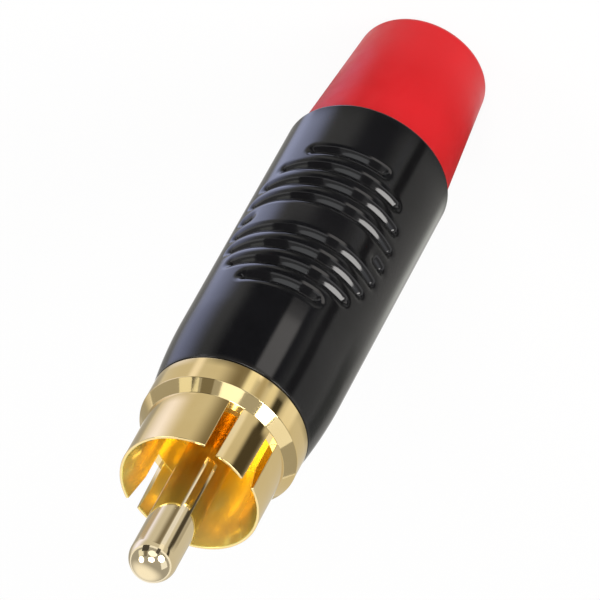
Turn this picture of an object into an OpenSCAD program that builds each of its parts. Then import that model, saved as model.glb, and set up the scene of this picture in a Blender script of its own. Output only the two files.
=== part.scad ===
// RCA cable plug: six pieces on one axis, standing on the cable end with the signal pin up.
// Sizes in millimetres. Z = 0 is the flat rear end of the boot.

/* [Boot] */
// Length of the boot behind the shell
boot_len = 11.2; // [8:0.1:16]
// Boot diameter against the shell
boot_root_d = 11.0; // [10.2:0.1:11.1]
// Boot diameter at the cable end
boot_end_d = 9.2; // [8.6:0.1:10.2]
// Rounding of the boot's rear rim
boot_edge_r = 1.0; // [0.4:0.1:1.2]
// Hole for the cable
cable_d = 6.2; // [5.4:0.1:6.4]
// Countersink of the cable hole
mouth_bevel = 0.2; // [0.1:0.05:0.3]
// Diameter of the neck that enters the shell
neck_d = 8.7; // [8.3:0.1:8.9]
// Length of the neck
neck_len = 3.6; // [3:0.1:4.5]
// Height of the snap rib on the neck
rib_h = 0.25; // [0.1:0.05:0.3]
// Width of the snap rib
rib_w = 1.0; // [0.6:0.1:1.4]
// Distance from the boot's shoulder to the snap rib
rib_at = 1.6; // [0.8:0.1:1.8]

/* [Shell] */
// Length of the shell
shell_len = 25.7; // [24:0.1:32]
// Outside diameter of the shell
shell_d = 11.7; // [11.4:0.1:14]
// Length of the curved nose
nose_len = 5.5; // [3:0.1:6]
// Diameter of the nose where it meets the flange
nose_d = 10.9; // [10.6:0.1:11.2]
// Rounding of the rear rim
shell_edge_r = 0.3; // [0.1:0.05:0.4]
// Thickness of the web between the boot socket and the chuck seat
web_len = 1.2; // [0.8:0.1:2]
// Length of the conical chuck seat
seat_len = 5.5; // [4:0.1:7]

/* [Grip] */
// Distance from the shell's front to the middle of a grip patch
grip_drop = 14.3; // [13.9:0.1:15.5]
// Groove rows on each side of the bare band
grip_rows = 4; // [2:1:4]
// Spacing of the rows
groove_pitch = 1.63; // [1.4:0.01:1.7]
// Width of a groove at the surface
groove_w = 0.84; // [0.5:0.02:1]
// Depth of a groove
groove_depth = 0.34; // [0.15:0.01:0.4]
// Half the length of the oval that bounds a patch
grip_half_len = 7.3; // [7.2:0.1:7.8]
// Half the angle that the oval takes round the shell
grip_half_deg = 57; // [40:1:65]
// Angle of the two short stubs in the bare band
stub_deg = 7; // [4:1:10]

/* [Ground contact] */
// Bore of the crown, which takes the jack's barrel
jack_d = 8.3; // [8:0.05:8.6]
// Wall of the crown
crown_wall = 0.65; // [0.5:0.05:0.8]
// Straight length of the crown
crown_len = 4.3; // [3:0.1:6]
// Length of the inner bevel at the crown's rim
lead_len = 0.9; // [0.4:0.1:1.2]
// Wall left at the rim
rim_wall = 0.2; // [0.1:0.05:0.4]
// Width of the crown's slots
slot_w = 1.0; // [0.6:0.1:1.4]
// Angle between the two slots beside a spring tongue
tongue_deg = 40; // [36:1:60]
// Wall of a spring tongue
tongue_wall = 0.5; // [0.3:0.05:0.6]
// How far a spring tongue's rim leans in
tongue_lean = 0.3; // [0:0.05:0.4]
// Depth of the crown's socket down to its floor
socket_depth = 6.9; // [6.4:0.1:7]
// Thickness of the socket's floor
floor_len = 0.8; // [0.6:0.1:1.2]
// Length of the flange against the shell
flange_len = 2.0; // [1:0.1:3]
// Bevel of the flange at the seam
seam_bevel = 0.12; // [0.05:0.01:0.3]
// Length of the bevel from flange to crown
step_len = 0.8; // [0.4:0.1:1.2]
// Thread diameter, in the shell
thread_d = 9.4; // [9.2:0.1:9.6]
// Length of the threaded spigot
spigot_len = 4.5; // [4:0.1:5.5]
// Length of the solder tail
tail_len = 6.5; // [5:0.1:8]
// Wall of the solder tail
tail_wall = 0.5; // [0.4:0.05:0.55]
// Angle of the solder tail round the axis
tail_deg = 110; // [80:5:150]
// Wire hole in the solder tail
wire_d = 1.2; // [0.8:0.1:1.6]
// Angle of the crown's tongues when screwed home
crown_turn = 56; // [0:1:180]

/* [Signal pin] */
// Diameter of the pin
pin_d = 3.2; // [3:0.05:3.3]
// How far the pin stands out of the crown
pin_reach = 7.8; // [6:0.1:9]
// Diameter of the shank in the insulator
shank_d = 2.4; // [2:0.1:2.6]
// Length of the solder cup behind the insulator
cup_len = 4.0; // [3:0.1:4.5]
// Bore of the solder cup
cup_d = 1.6; // [1.2:0.1:1.7]
// Depth of the solder cup
cup_depth = 3.0; // [2:0.1:3.5]

/* [Insulator] */
// Diameter of the insulator's body
body_d = 6.0; // [5.4:0.1:6.2]
// Diameter of the insulator's front collar, in the socket's floor
collar_d = 4.6; // [4.2:0.1:5]

/* [Chuck] */
// Wall of the jaws at their tips
jaw_wall = 0.45; // [0.35:0.05:0.55]
// Height of the gripping ridges
tooth_h = 0.2; // [0.1:0.05:0.3]
// Spacing of the gripping ridges
tooth_pitch = 1.0; // [0.8:0.1:1.4]
// Number of gripping ridges
teeth = 5; // [3:1:6]
// Width of the slots between the jaws
jaw_slot_w = 0.8; // [0.5:0.1:1.2]
// Number of jaws
jaws = 4; // [3:1:6]
// Solid length that ties the jaws together
jaw_root = 1.4; // [1:0.1:2]
// Bore of the front guide
guide_d = 6.6; // [6:0.1:7]

/* [Fits] */
// Radial gap of the thread
thread_gap = 0.05; // [0.02:0.01:0.1]
// How much smaller the bore behind the thread is, on the radius
bore_step = 0.1; // [0.05:0.05:0.2]
// Gap between chuck and shell
chuck_gap = 0.1; // [0.05:0.01:0.15]
// Gap between solder tail and chuck
tail_gap = 0.15; // [0.1:0.05:0.2]
// Gap of the boot's neck in the shell
neck_gap = 0.05; // [0.02:0.01:0.1]
// Gap of pressed pieces
press_gap = 0.01; // [0:0.01:0.03]
// Free length left in front of ends that must not touch
end_gap = 0.3; // [0.1:0.1:0.6]

/* [Hidden] */
$fn = 96;
cut = 0.5;
foot = 0.3;

// Heights of the outside
shell_z0 = boot_len;
shell_z1 = shell_z0 + shell_len;
flange_z1 = shell_z1 + flange_len;
crown_z0 = flange_z1 + step_len;
rim_z = crown_z0 + crown_len;
tip_z = rim_z + pin_reach;

// Heights of the inside
web_z0 = shell_z0 + neck_len + end_gap;
seat_z0 = web_z0 + web_len;
seat_z1 = seat_z0 + seat_len;
spigot_z0 = shell_z1 - spigot_len;
thread_z0 = spigot_z0 - end_gap;
socket_z0 = rim_z - socket_depth;
floor_z0 = socket_z0 - floor_len;
tail_z0 = spigot_z0 - tail_len;
cup_z0 = spigot_z0 - cup_len;
chuck_z0 = seat_z0 + end_gap;
guide_z0 = tail_z0 - end_gap;
rib_z0 = shell_z0 + rib_at;

// Radii
shell_r = shell_d / 2;
nose_r = nose_d / 2;
cable_r = cable_d / 2;
neck_r = neck_d / 2;
neck_socket_r = neck_r + neck_gap;
thread_r = thread_d / 2;
bore_r = thread_r - bore_step;
jaw_bore_r = cable_r + tooth_h;
seat_r0 = jaw_bore_r + jaw_wall + chuck_gap;
jack_r = jack_d / 2;
crown_r = jack_r + crown_wall;
slot_deg = 2 * asin(slot_w / 2 / crown_r);
spigot_r = thread_r - thread_gap;
body_r = body_d / 2;
collar_r = collar_d / 2;
tail_r = body_r + tail_gap + tail_wall;
pin_r = pin_d / 2;
shank_r = shank_d / 2;

// Round groove cutter: radius and how far its centre lies outside the shell
groove_r = (pow(groove_w / 2, 2) + pow(groove_depth, 2)) / (2 * groove_depth);
groove_out = groove_r - groove_depth;
// The ball at a groove's end is a hair smaller than the groove
groove_end_r = 0.98 * groove_r;

// Points of a round stretch of outline
function arc(r, z, rad, a0, a1, n) = [
    for (i = [0:n])
        [r + rad * cos(a0 + (a1 - a0) * i / n), z + rad * sin(a0 + (a1 - a0) * i / n)]
];

// Nose outline: a large arc that leaves the straight shell smoothly
function nose(n) =
    let (drop = shell_r - nose_r)
    let (rad = (nose_len * nose_len + drop * drop) / (2 * drop))
    arc(shell_r - rad, shell_z1 - nose_len, rad, 0, asin(nose_len / rad), n);

// Radius of the shell's conical seat at a height
function seat_r(z) = seat_r0 + (bore_r - seat_r0) * (z - seat_z0) / seat_len;

// Half the angle of a groove row at a distance from the middle of its patch
function row_deg(dz) = grip_half_deg * sqrt(1 - pow(dz / grip_half_len, 2));

// Ball-ended groove round the shell between two angles
module groove(z, a0, a1) {
    translate([0, 0, z]) {
        rotate([0, 0, a0])
            rotate_extrude(angle = a1 - a0)
                translate([shell_r + groove_out, 0])
                    circle(r = groove_r);
        for (a = [a0, a1])
            rotate([0, 0, a])
                translate([shell_r + groove_out, 0, 0])
                    sphere(r = groove_end_r);
    }
}

// Rows of one grip patch, clipped by the oval, with a bare band and two stubs in the middle
module grip_patch() {
    mid = shell_z1 - grip_drop;
    for (i = [1:grip_rows], side = [-1, 1]) {
        dz = side * i * groove_pitch;
        groove(mid + dz, -row_deg(dz), row_deg(dz));
    }
    groove(mid, grip_half_deg - stub_deg, grip_half_deg);
    groove(mid, -grip_half_deg, stub_deg - grip_half_deg);
}

// Die-cast barrel: thread in front, conical chuck seat, boot socket with a snap groove behind
module shell() {
    rib_room = rib_h + neck_gap;
    color("#17171a")
        difference() {
            rotate_extrude()
                polygon(concat(
                    arc(shell_r - shell_edge_r, shell_z0 + shell_edge_r, shell_edge_r, -90, 0, 5),
                    nose(10),
                    [
                        [thread_r + bore_step, shell_z1],
                        [thread_r, shell_z1 - bore_step],
                        [thread_r, thread_z0],
                        [bore_r, thread_z0],
                        [bore_r, seat_z1],
                        [seat_r0, seat_z0],
                        [jaw_bore_r, seat_z0],
                        [jaw_bore_r, web_z0],
                        [neck_socket_r, web_z0],
                        [neck_socket_r, rib_z0 + rib_w + neck_gap + rib_room],
                        [neck_socket_r + rib_room, rib_z0 + rib_w + neck_gap],
                        [neck_socket_r + rib_room, rib_z0 - neck_gap],
                        [neck_socket_r, rib_z0 - neck_gap],
                        [neck_socket_r, shell_z0]
                    ]
                ));
            for (a = [-90, 90])
                rotate([0, 0, a])
                    grip_patch();
        }
}

// Soft sleeve: tapered outside, straight cable hole, neck with a snap rib
module boot() {
    color("#d8262a")
        rotate_extrude()
            polygon(concat(
                [[cable_r + mouth_bevel, 0]],
                arc(boot_end_d / 2 - boot_edge_r, boot_edge_r, boot_edge_r, -90, 0, 8),
                [
                    [boot_root_d / 2, shell_z0],
                    [neck_r, shell_z0],
                    [neck_r, rib_z0],
                    [neck_r + rib_h, rib_z0],
                    [neck_r + rib_h, rib_z0 + rib_w],
                    [neck_r, rib_z0 + rib_w + rib_h],
                    [neck_r, shell_z0 + neck_len - mouth_bevel],
                    [neck_r - mouth_bevel, shell_z0 + neck_len],
                    [cable_r, shell_z0 + neck_len],
                    [cable_r, mouth_bevel]
                ]
            ));
}

// Outline of the crown's wall from the rim down, for a given inner radius
function crown_wall_points(r) = [
    [crown_r, rim_z],
    [crown_r - rim_wall, rim_z],
    [r, rim_z - lead_len]
];

// Section of the turned contact, from the spigot's rear end to the crown's rim
module contact_section() {
    polygon(concat(
        [
            [body_r, spigot_z0],
            [spigot_r - end_gap, spigot_z0],
            [spigot_r, spigot_z0 + end_gap],
            [spigot_r, shell_z1],
            [nose_r - seam_bevel, shell_z1],
            [nose_r, shell_z1 + seam_bevel],
            [nose_r, flange_z1],
            [crown_r, crown_z0]
        ],
        crown_wall_points(jack_r),
        [
            [jack_r, socket_z0],
            [collar_r, socket_z0],
            [collar_r, floor_z0],
            [body_r, floor_z0]
        ]
    ));
}

// Gap in the crown that takes a spring tongue and the slots beside it
module tongue_gap() {
    deg = tongue_deg + slot_deg;
    rotate([0, 0, -deg / 2])
        rotate_extrude(angle = deg)
            translate([pin_r, crown_z0])
                square([shell_r - pin_r, crown_len + cut]);
}

// Spring tongue: a thinner strip of crown, set inward about its foot, which is sunk in the flange
module tongue() {
    deg = tongue_deg - slot_deg;
    foot_z = crown_z0 - foot;
    translate([crown_r, 0, foot_z])
        rotate([0, -atan(tongue_lean / crown_len), 0])
            translate([-crown_r, 0, -foot_z])
                rotate([0, 0, -deg / 2])
                    rotate_extrude(angle = deg)
                        polygon(concat(
                            [
                                [crown_r - tongue_wall, foot_z],
                                [crown_r, foot_z]
                            ],
                            crown_wall_points(crown_r - tongue_wall)
                        ));
}

// Half-round solder tail behind the spigot, with a wire hole
module solder_tail() {
    difference() {
        rotate([0, 0, -tail_deg / 2])
            rotate_extrude(angle = tail_deg)
                translate([tail_r - tail_wall, tail_z0])
                    square([tail_wall, tail_len + cut]);
        translate([0, 0, tail_z0 + wire_d * 1.5])
            rotate([0, 90, 0])
                cylinder(d = wire_d, h = shell_r);
    }
}

// Ground contact: slotted spring crown, flange, threaded spigot and solder tail in one
module ground_contact() {
    color("#d9b566")
        rotate([0, 0, crown_turn])
            union() {
                difference() {
                    rotate_extrude()
                        contact_section();
                    for (a = [0, 180])
                        rotate([0, 0, a])
                            tongue_gap();
                }
                for (a = [0, 180])
                    rotate([0, 0, a])
                        tongue();
                solder_tail();
            }
}

// Signal pin: round tip, shoulder on the insulator, shank and half-open solder cup
module center_pin() {
    color("#e3c788")
        rotate([0, 0, crown_turn])
            difference() {
                rotate_extrude()
                    polygon(concat(
                        [
                            [0, cup_z0],
                            [shank_r, cup_z0],
                            [shank_r, socket_z0],
                            [pin_r, socket_z0]
                        ],
                        arc(0, tip_z - pin_r, pin_r, 0, 90, 16)
                    ));
                translate([0, 0, cup_z0 - cut])
                    cylinder(d = cup_d, h = cup_depth + cut);
                translate([-shell_r, -shell_r, cup_z0 - cut])
                    cube([shell_r, shell_d, cup_depth + cut - cup_d / 2]);
            }
}

// Moulded bush between pin and ground contact
module insulator() {
    color("#e6dcc0")
        rotate_extrude()
            polygon([
                [shank_r + press_gap, spigot_z0],
                [body_r - press_gap, spigot_z0],
                [body_r - press_gap, floor_z0],
                [collar_r - press_gap, floor_z0],
                [collar_r - press_gap, socket_z0],
                [shank_r + press_gap, socket_z0]
            ]);
}

// Ridged bore of the jaws, from the guide back to the tips
function ridges() = [
    for (i = [0:teeth - 1], s = [0, 1])
        [
            s == 0 ? jaw_bore_r : cable_r,
            chuck_z0 + (teeth - i - s / 2) * tooth_pitch
        ]
];

// Collet: keyed guide round the solder tail, split jaws that close in the shell's cone
module chuck() {
    key_deg = tail_deg + 2 * asin(tail_gap / body_r);
    color("#e8e6df")
        rotate([0, 0, crown_turn])
            difference() {
                rotate_extrude()
                    polygon(concat(
                        [
                            [jaw_bore_r, chuck_z0],
                            [seat_r(chuck_z0) - chuck_gap, chuck_z0],
                            [bore_r - chuck_gap, seat_z1],
                            [bore_r - chuck_gap, spigot_z0],
                            [guide_d / 2, spigot_z0],
                            [guide_d / 2, guide_z0],
                            [jaw_bore_r, guide_z0]
                        ],
                        ridges()
                    ));
                rotate([0, 0, -key_deg / 2])
                    rotate_extrude(angle = key_deg)
                        translate([cable_r - cut, guide_z0])
                            square([tail_r + tail_gap - cable_r + cut, spigot_z0 - guide_z0 + cut]);
                for (i = [0:jaws - 1])
                    rotate([0, 0, (i + 0.5) * 360 / jaws])
                        translate([0, -jaw_slot_w / 2, chuck_z0 - cut])
                            cube([shell_r, jaw_slot_w, guide_z0 - jaw_root - chuck_z0 + cut]);
            }
}

shell();
boot();
ground_contact();
center_pin();
insulator();
chuck();
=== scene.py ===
"""Looks of a straight RCA cable plug that stands on its boot with the signal pin up.

Sizes are in millimetres and angles in degrees until a mesh is handed to Blender.
"""

import logging
import math
from dataclasses import dataclass
from enum import Enum
from typing import Callable, Union

import bmesh
import bpy
import numpy as np
from bmesh.types import BMesh, BMFace, BMVert
from bpy.types import ID, Material, Node, NodeSocket, Object, World
from mathutils import Matrix, Vector


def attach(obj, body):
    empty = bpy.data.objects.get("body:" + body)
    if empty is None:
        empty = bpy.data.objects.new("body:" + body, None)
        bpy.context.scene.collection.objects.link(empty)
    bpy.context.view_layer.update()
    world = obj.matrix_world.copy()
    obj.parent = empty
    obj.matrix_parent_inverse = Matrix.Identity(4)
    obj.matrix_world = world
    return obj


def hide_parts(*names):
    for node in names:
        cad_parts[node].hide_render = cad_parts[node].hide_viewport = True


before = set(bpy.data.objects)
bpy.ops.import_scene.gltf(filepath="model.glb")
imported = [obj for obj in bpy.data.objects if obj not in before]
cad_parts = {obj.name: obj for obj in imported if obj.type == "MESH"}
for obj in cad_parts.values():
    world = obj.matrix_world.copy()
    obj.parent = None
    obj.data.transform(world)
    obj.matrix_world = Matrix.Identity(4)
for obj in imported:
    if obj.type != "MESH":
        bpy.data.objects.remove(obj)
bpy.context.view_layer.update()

LOG = logging.getLogger("plug")
MM = 0.001
TURN = 2 * math.pi
QUARTER = math.pi / 2

SEAM = 36.9  # height at which the contact's flange meets the shell
SOCKET_FLOOR = 37.1  # height of the floor inside the crown
TONGUE_TURN = 56.0  # angle round the axis of one spring tongue
CAMERA_SIDE = -105.0  # angle round the axis from which the camera looks

CORNER_SHARE = 0.45  # most of a stretch that one rounded corner may take
SLOPE_STEP = 1e-3  # step for measuring the slope of a relief
LEAST_R = 0.1  # least radius in a slope round the axis
NOISE_ENDS = (0.3, 0.7)  # values between which a noise does its work

Array = np.ndarray
Pair = tuple[float, float]
Triple = tuple[float, float, float]
Colour = Triple
Profile = list[Pair]
MeshData = tuple[Array, Array, list[tuple[int, ...]]]
Relief = Callable[[Array, Array], Array]
Value = Union[Node, NodeSocket, tuple, float]
Inputs = tuple[tuple[str, float], ...]


class Body(Enum):
    """Moving bodies that new pieces ride on."""

    HOUSING = "housing"
    CONTACTS = "contacts"


class Slot(Enum):
    """Material slots of the record, passed along with new pieces."""

    SHELL = "shell_black"
    BOOT = "boot_red"
    GOLD = "gold_plate"


# Mesh tools


def around(turns: Array) -> Array:
    """Gives the unit vectors at some angles in radians."""
    return np.stack([np.cos(turns), np.sin(turns)], axis=1)


def polar(r: float, turn: float, z: float) -> Triple:
    """Gives the point at a radius, an angle in radians and a height."""
    return r * math.cos(turn), r * math.sin(turn), z


def even_columns(count: int) -> Array:
    """Gives evenly spaced angles over one turn, in radians."""
    return np.arange(count) * TURN / count


def ease(x: Array) -> Array:
    """Smooth step from 0 to 1 over the unit range."""
    t = np.clip(x, 0.0, 1.0)
    return t * t * (3 - 2 * t)


@dataclass(frozen=True)
class Corner:
    """Corner of a turned outline, with the radius that breaks its edge."""

    r: float
    z: float
    soft: float = 0.03


@dataclass
class Outline:
    """Points of a turned outline with the outward normal at each of them."""

    points: Array
    normals: Array

    @staticmethod
    def arc(r: float, z: float, radius: float, turns: Array) -> "Outline":
        """Rounds a stretch about (r, z); the radius is below zero where the outline is hollow."""
        way = around(turns)
        return Outline(np.array([r, z]) + radius * way, way)

    @staticmethod
    def chain(*parts: "Outline") -> "Outline":
        """Puts outlines behind each other."""
        return Outline(np.vstack([p.points for p in parts]), np.vstack([p.normals for p in parts]))

    @staticmethod
    def turned(corners: list[Corner], closed: bool = True, steps: int = 5) -> "Outline":
        """Rounds each corner of an outline that runs anticlockwise in the (r, z) plane.

        Args:
            corners: Corners in order.
            closed: Whether the last corner joins the first.
            steps: Number of short stretches in each rounded corner.

        Returns:
            The rounded outline.
        """
        at = np.array([[c.r, c.z] for c in corners])
        ahead = np.roll(at, -1, axis=0) - at
        lengths = np.linalg.norm(ahead, axis=1)
        ahead /= lengths[:, None]
        parts = []
        for i, corner in enumerate(corners):
            before, after = ahead[i - 1], ahead[i]
            if not closed and i in (0, len(corners) - 1):
                step = after if i == 0 else before
                parts.append(Outline(at[[i]], np.array([[step[1], -step[0]]])))
                continue
            bend = math.atan2(before[0] * after[1] - before[1] * after[0], float(before @ after))
            slope = math.tan(abs(bend) / 2)
            tangent = min(corner.soft * slope, CORNER_SHARE * min(lengths[i - 1], lengths[i]))
            radius = math.copysign(tangent / slope, bend)
            first = np.array([before[1], -before[0]])
            centre = at[i] - before * tangent - radius * first
            turns = math.atan2(first[1], first[0]) + np.linspace(0, bend, steps + 1)
            parts.append(Outline.arc(*centre, radius, turns))
        return Outline.chain(*parts)

    @staticmethod
    def wall(r: float, rows: Array, outward: float = 1.0) -> "Outline":
        """Makes a straight stretch along the axis, with -1 as outward in a bore."""
        points = np.stack([np.full_like(rows, r), rows], axis=1)
        return Outline(points, np.tile([outward, 0.0], (len(rows), 1)))


def quads(rows: int, cols: int, closed: bool) -> list[tuple[int, ...]]:
    """Lists the faces of a grid of vertices whose columns go round the axis.

    Args:
        rows: Number of rows.
        cols: Number of columns.
        closed: Whether the last row joins the first.

    Returns:
        Vertex numbers of each face.
    """
    faces = []
    for i in range(rows if closed else rows - 1):
        low, up = i * cols, (i + 1) % rows * cols
        for j in range(cols):
            k = (j + 1) % cols
            faces.append((low + j, low + k, up + k, up + j))
    return faces


def revolve(
    outline: Outline, columns: Array, closed: bool, relief: Relief | None = None
) -> MeshData:
    """Turns an outline round the plug's axis.

    Args:
        outline: Outline to turn; where it is open, its ends lie on the axis.
        columns: Angles of the columns in radians, in rising order over one turn.
        closed: Whether the outline joins its own start.
        relief: Depth cut into the surface, by height and angle, measured along the radius.

    Returns:
        Vertices, vertex normals and faces.
    """
    turn = np.ones((len(outline.points), 1)) * columns
    r, z = (part[:, None] * np.ones_like(turn) for part in outline.points.T)
    n_r, n_z = (part[:, None] * np.ones_like(turn) for part in outline.normals.T)
    slope = np.zeros_like(turn)
    if relief is not None:
        h = SLOPE_STEP
        outward = np.sign(n_r) / (2 * h)
        n_z = n_z + outward * (relief(z + h, turn) - relief(z - h, turn))
        slope = outward * (relief(z, turn + h) - relief(z, turn - h)) / np.maximum(r, LEAST_R)
        r = r - relief(z, turn)
    cos, sin = np.cos(turn), np.sin(turn)
    points = np.stack([r * cos, r * sin, z], axis=-1)
    normals = np.stack([n_r * cos - slope * sin, n_r * sin + slope * cos, n_z], axis=-1)
    normals /= np.linalg.norm(normals, axis=-1, keepdims=True)
    rows, cols = turn.shape
    if closed:
        return points.reshape(-1, 3), normals.reshape(-1, 3), quads(rows, cols, True)
    body, tilt = points[1:-1].reshape(-1, 3), normals[1:-1].reshape(-1, 3)
    ends = np.array([[0, 0, outline.points[0, 1]], [0, 0, outline.points[-1, 1]]])
    faces = quads(rows - 2, cols, False)
    last = (rows - 3) * cols
    for j in range(cols):
        k = (j + 1) % cols
        faces += [(len(body), k, j), (len(body) + 1, last + j, last + k)]
    return np.vstack([body, ends]), np.vstack([tilt, [[0, 0, -1], [0, 0, 1]]]), faces


def sector(corners: Profile, middle_deg: float, half_deg: float, steps: int) -> MeshData:
    """Turns a closed outline through part of a turn, with flat ends and sharp edges.

    Args:
        corners: Outline in (r, z), anticlockwise.
        middle_deg: Middle angle.
        half_deg: Half the angle it takes.
        steps: Number of columns.

    Returns:
        Vertices, normals and faces.
    """
    turns = np.radians(np.linspace(middle_deg - half_deg, middle_deg + half_deg, steps + 1))
    points, normals, faces = [], [], []
    for (r0, z0), (r1, z1) in zip(corners, corners[1:] + corners[:1]):
        length = math.hypot(r1 - r0, z1 - z0)
        n_r, n_z = (z1 - z0) / length, -(r1 - r0) / length
        start = len(points)
        for a in turns:
            points += [polar(r0, a, z0), polar(r1, a, z1)]
            normals += [polar(n_r, a, n_z)] * 2
        for k in range(start, start + 2 * steps, 2):
            faces.append((k, k + 2, k + 3, k + 1))
    if half_deg < 180:
        for a, side in ((turns[0], -1), (turns[-1], 1)):
            ring = tuple(range(len(points), len(points) + len(corners)))
            points += [polar(r, a, z) for r, z in corners]
            normals += [(-side * math.sin(a), side * math.cos(a), 0.0)] * len(corners)
            faces.append(ring if side < 0 else ring[::-1])
    return np.array(points), np.array(normals), faces


def joined(first: MeshData, second: MeshData) -> MeshData:
    """Puts two sets of mesh data behind each other."""
    faces = first[2] + [tuple(len(first[0]) + i for i in face) for face in second[2]]
    return np.vstack([first[0], second[0]]), np.vstack([first[1], second[1]]), faces


def linked(name: str, data: ID) -> Object:
    """Puts a mesh, lamp or camera into the scene.

    Args:
        name: Name of the object.
        data: The mesh, lamp or camera.

    Returns:
        The linked object.
    """
    obj = bpy.data.objects.new(name, data)
    bpy.context.scene.collection.objects.link(obj)
    return obj


def smooth_mesh(name: str, data: MeshData) -> Object:
    """Makes an object from millimetre points with exact shading normals.

    Args:
        name: Name of the piece.
        data: Vertices in millimetres, their unit normals and the faces.

    Returns:
        The linked object, in metres.
    """
    points, normals, faces = data
    mesh = bpy.data.meshes.new(name)
    mesh.from_pydata((points * MM).tolist(), [], faces)
    mesh.polygons.foreach_set("use_smooth", [True] * len(faces))
    mesh.update()
    mesh.normals_split_custom_set_from_vertices(normals.tolist())
    return linked(name, mesh)


def made(name: str, bm: BMesh) -> Object:
    """Puts an edited mesh into the scene as an object.

    Args:
        name: Name of the object.
        bm: The edited mesh, which is freed.

    Returns:
        The linked object.
    """
    mesh = bpy.data.meshes.new(name)
    bm.to_mesh(mesh)
    bm.free()
    return linked(name, mesh)


def settle(obj: Object) -> None:
    """Turns an object's modifiers into its plain mesh.

    Args:
        obj: The object.
    """
    bpy.context.view_layer.update()
    graph = bpy.context.evaluated_depsgraph_get()
    mesh = bpy.data.meshes.new_from_object(obj.evaluated_get(graph))
    obj.modifiers.clear()
    obj.data = mesh


# Finishes


@dataclass(frozen=True)
class Grain:
    """Noise over a surface: cells in a metre, finer layers and a factor on each axis."""

    cells: float
    layers: float
    stretch: Triple = (1, 1, 1)


class Tree:
    """Shader nodes of one material or world."""

    def __init__(self, owner: ID) -> None:
        """Starts with nothing but the output.

        Args:
            owner: Material or world.
        """
        owner.use_nodes = True
        self.owner = owner
        self.tree = owner.node_tree
        self.tree.nodes.clear()
        is_world = isinstance(owner, World)
        self.out = self.add("OutputWorld" if is_world else "OutputMaterial")

    def put(self, value: Value, into: NodeSocket) -> None:
        """Links something to an input, or sets the input to a constant.

        Args:
            value: Node, whose first output counts, or socket, or constant.
            into: The input.
        """
        if isinstance(value, Node):
            value = value.outputs[0]
        if isinstance(value, NodeSocket):
            self.tree.links.new(value, into)
        else:
            into.default_value = value

    def add(self, kind: str, *ordered: Value, **named: object) -> Node:
        """Adds a node and fills it.

        Args:
            kind: Blender's type name of the node, after ShaderNode.
            ordered: Values of the first inputs in order.
            named: Values of inputs by lower-case name, or else of properties.

        Returns:
            The new node.
        """
        node = self.tree.nodes.new("ShaderNode" + kind)
        for value, socket in zip(ordered, node.inputs):
            self.put(value, socket)
        for key, value in named.items():
            found = [s for s in node.inputs if s.name.lower().replace(" ", "_") == key]
            if found:
                self.put(value, found[0])
            else:
                setattr(node, key, value)
        return node

    def show(self, shader: Node) -> None:
        """Makes a shader the one that shows."""
        self.put(shader, self.out.inputs["Surface"])

    def place(self) -> NodeSocket:
        """Gives the place on the piece in metres."""
        return self.add("TexCoord").outputs["Object"]

    def noise(self, grain: Grain) -> Node:
        """Adds a noise over the piece and returns it."""
        shape = self.add("Mapping", self.place(), scale=grain.stretch)
        return self.add("TexNoise", shape, scale=grain.cells, detail=grain.layers)


@dataclass(frozen=True)
class Finish:
    """Surface with two close tones, an uneven gloss and a fine relief.

    Gloss gives the ends of the roughness, bump the relief's share and height, and inputs
    the shader's constants by name.
    """

    name: str
    dark: Colour
    light: Colour
    tone: Grain
    sheen: Grain
    gloss: Pair
    relief: Grain
    bump: Pair
    inputs: Inputs = ()

    def shade(self, nodes: Tree) -> Node:
        """Gives what the tone follows."""
        return nodes.noise(self.tone)

    def make(self) -> Material:
        """Builds the material.

        Returns:
            The material.
        """
        nodes = Tree(bpy.data.materials.new(self.name))
        ramp = nodes.add("ValToRGB", self.shade(nodes))
        tones = (self.dark, self.light)
        for end, place, tone in zip(ramp.color_ramp.elements, NOISE_ENDS, tones):
            end.position, end.color = place, (*tone, 1)
        rough = nodes.add("MapRange", nodes.noise(self.sheen), *NOISE_ENDS, *self.gloss)
        share, height = self.bump
        raised = nodes.add("Bump", share, height * MM, height=nodes.noise(self.relief))
        fixed = dict(self.inputs)
        nodes.show(nodes.add("BsdfPrincipled", ramp, roughness=rough, normal=raised, **fixed))
        return nodes.owner


@dataclass(frozen=True)
class GoldPlate(Finish):
    """Thin bright gold over turned brass, with faint turning marks."""

    name: str = "gold_plate"
    dark: Colour = (0.88, 0.68, 0.33)
    light: Colour = (0.93, 0.745, 0.39)
    tone: Grain = Grain(260, 3)
    sheen: Grain = Grain(420, 4)
    gloss: Pair = (0.055, 0.085)
    relief: Grain = Grain(2200, 2, (0.02, 0.02, 1.0))
    bump: Pair = (0.10, 0.004)
    inputs: Inputs = (("metallic", 1.0),)


@dataclass(frozen=True)
class GoldWithPaintedShade(Finish):
    """Gold with painted shade: its tone turns deeper towards the socket's floor, with streaks
    along the bore.
    """

    name: str = "gold_plate_bored"
    # dark paints the shade near the floor, light is the plate near the rim
    dark: Colour = (0.99, 0.675, 0.085)
    light: Colour = (0.99, 0.86, 0.28)
    tone: Grain = Grain(900, 3, (1.0, 1.0, 0.06))
    sheen: Grain = Grain(420, 4)
    gloss: Pair = (0.12, 0.20)
    relief: Grain = Grain(2600, 2, (1.0, 1.0, 0.06))
    bump: Pair = (0.15, 0.004)
    inputs: Inputs = (("metallic", 0.70),)
    floor: float = SOCKET_FLOOR
    rim: float = 42.4
    streaks: float = 0.45

    def shade(self, nodes: Tree) -> Node:
        """Mixes the height above the floor, which paints the shade, with the streaks."""
        z = nodes.add("SeparateXYZ", nodes.place()).outputs["Z"]
        height = nodes.add("MapRange", z, self.floor * MM, self.rim * MM)
        return nodes.add("Mix", self.streaks, a=height, b=nodes.noise(self.tone))


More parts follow.
